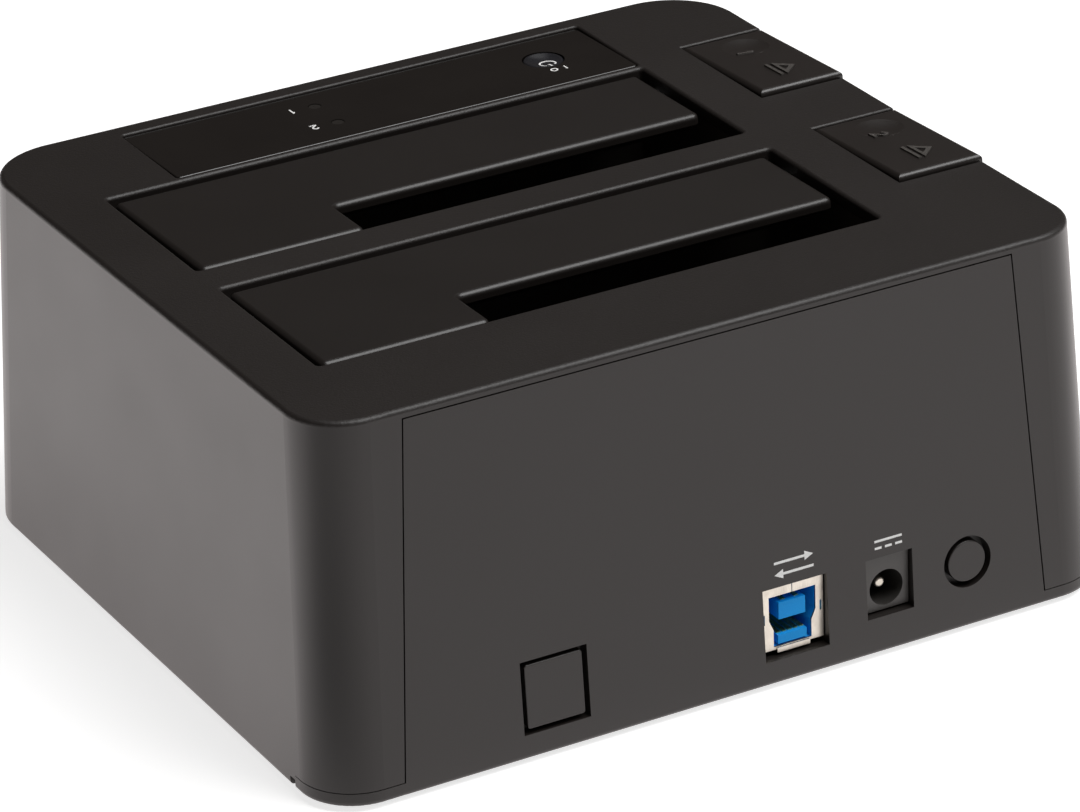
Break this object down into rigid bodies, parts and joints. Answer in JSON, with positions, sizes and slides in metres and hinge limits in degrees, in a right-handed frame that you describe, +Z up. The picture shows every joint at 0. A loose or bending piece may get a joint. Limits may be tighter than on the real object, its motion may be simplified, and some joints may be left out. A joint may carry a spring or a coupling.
{
  "type": "hard drive docking station",
  "caption": "Desktop dock for bare disk drives: sprung doors over two bays, eject keys with levers, status panel, data and power ports.",
  "frame": {"origin": "middle of the surface that the feet stand on", "axes": "+X along the drive bays, away from the eject keys; +Y towards the ports at the rear; +Z up"},
  "size_m": [0.1522, 0.1382, 0.069],
  "materials": {
    "casing_plastic": "fine-grained black moulding",
    "frame_plastic": "plain black moulding",
    "door_plastic": "smooth black moulding",
    "key_plastic": "smooth black moulding",
    "panel_gloss": "polished black",
    "power_button_plastic": "polished blue-black",
    "lamp_lens": "smoked clear",
    "circuit_board": "solder resist",
    "component_black": "epoxy",
    "socket_plastic": "black connector resin",
    "ribbon_insulation": "grey insulation",
    "port_metal": "tin plated",
    "port_blue": "blue connector resin",
    "jack_plastic": "black connector resin",
    "contact_gold": "gold plated",
    "tinned_steel": "bright can",
    "screw_steel": "blackened steel",
    "spring_steel": "drawn wire",
    "foot_rubber": "soft rubber"
  },
  "bodies": {
    "station": {"upper_shell": "casing_plastic", "base_tray": "casing_plastic", "bay_frame": "frame_plastic", "square_port_plug": "casing_plastic", "round_port_plug": "casing_plastic", "indicator_panel": "panel_gloss", "power_switch": "component_black", "indicator_board": "circuit_board", "status_leds": "lamp_lens", "light_pipes": "lamp_lens", "indicator_socket": "socket_plastic", "main_socket": "socket_plastic", "ribbon_cable": "ribbon_insulation", "main_board": "circuit_board", "bridge_chips": "component_black", "crystals": "tinned_steel", "capacitors": "tinned_steel", "inductors": "component_black", "data_port_shell": "port_metal", "data_port_insulator": "port_blue", "data_port_contacts": "contact_gold", "power_jack_body": "jack_plastic", "power_jack_pin": "port_metal", "rubber_feet": "foot_rubber", "base_screws": "screw_steel", "board_screws": "screw_steel", "frame_screws": "screw_steel", "indicator_board_screws": "screw_steel", "door_rod_1": "spring_steel", "door_rod_2": "spring_steel", "drive_connector_1": "socket_plastic", "drive_connector_2": "socket_plastic", "drive_contacts_1": "contact_gold", "drive_contacts_2": "contact_gold", "lever_pin_1": "spring_steel", "lever_pin_2": "spring_steel", "eject_spring_1": "spring_steel", "eject_spring_2": "spring_steel"},
    "power_key": {"power_button": "power_button_plastic", "power_switch_plunger": "component_black"},
    "flap_1": {"door_1": "door_plastic", "door_spring_1": "spring_steel"},
    "eject_key_1": {"eject_button_1": "key_plastic", "button_clip_1": "spring_steel"},
    "rocker_1": {"eject_lever_1": "frame_plastic"},
    "flap_2": {"door_2": "door_plastic", "door_spring_2": "spring_steel"},
    "eject_key_2": {"eject_button_2": "key_plastic", "button_clip_2": "spring_steel"},
    "rocker_2": {"eject_lever_2": "frame_plastic"}
  },
  "joints": [
    {"name": "door_1_hinge", "type": "hinge", "parent": "station", "child": "flap_1", "pos_m": [0.00755, -0.0342, 0.0634], "axis": [-1, 0, 0], "range_deg": [0, 87], "stiffness_Nm_per_rad": 0.01, "springref_deg": -20.05},
    {"name": "eject_button_1_slide", "type": "slide", "parent": "station", "child": "eject_key_1", "axis": [0, 0, -1], "range_m": [0, 0.004], "stiffness_N_per_m": 600, "springref_m": -0.002, "deforming": ["eject_spring_1"]},
    {"name": "eject_lever_1_turn", "type": "hinge", "parent": "station", "child": "rocker_1", "pos_m": [-0.0505, -0.02725, 0.0225], "axis": [0, -1, 0], "range_deg": [0, 17.7]},
    {"name": "door_2_hinge", "type": "hinge", "parent": "station", "child": "flap_2", "pos_m": [0.00755, 0.0104, 0.0634], "axis": [-1, 0, 0], "range_deg": [0, 87], "stiffness_Nm_per_rad": 0.01, "springref_deg": -20.05},
    {"name": "eject_button_2_slide", "type": "slide", "parent": "station", "child": "eject_key_2", "axis": [0, 0, -1], "range_m": [0, 0.004], "stiffness_N_per_m": 600, "springref_m": -0.002, "deforming": ["eject_spring_2"]},
    {"name": "eject_lever_2_turn", "type": "hinge", "parent": "station", "child": "rocker_2", "pos_m": [-0.0505, 0.01835, 0.0225], "axis": [0, -1, 0], "range_deg": [0, 17.7]},
    {"name": "power_button_slide", "type": "slide", "parent": "station", "child": "power_key", "axis": [0, 0, -1], "range_m": [0, 0.0008], "stiffness_N_per_m": 500, "springref_m": -0.002}
  ],
  "couplings": [
    {"joint": "eject_lever_1_turn", "follows": "eject_button_1_slide", "rad_per_m": 76.923},
    {"joint": "eject_lever_2_turn", "follows": "eject_button_2_slide", "rad_per_m": 76.923}
  ]
}
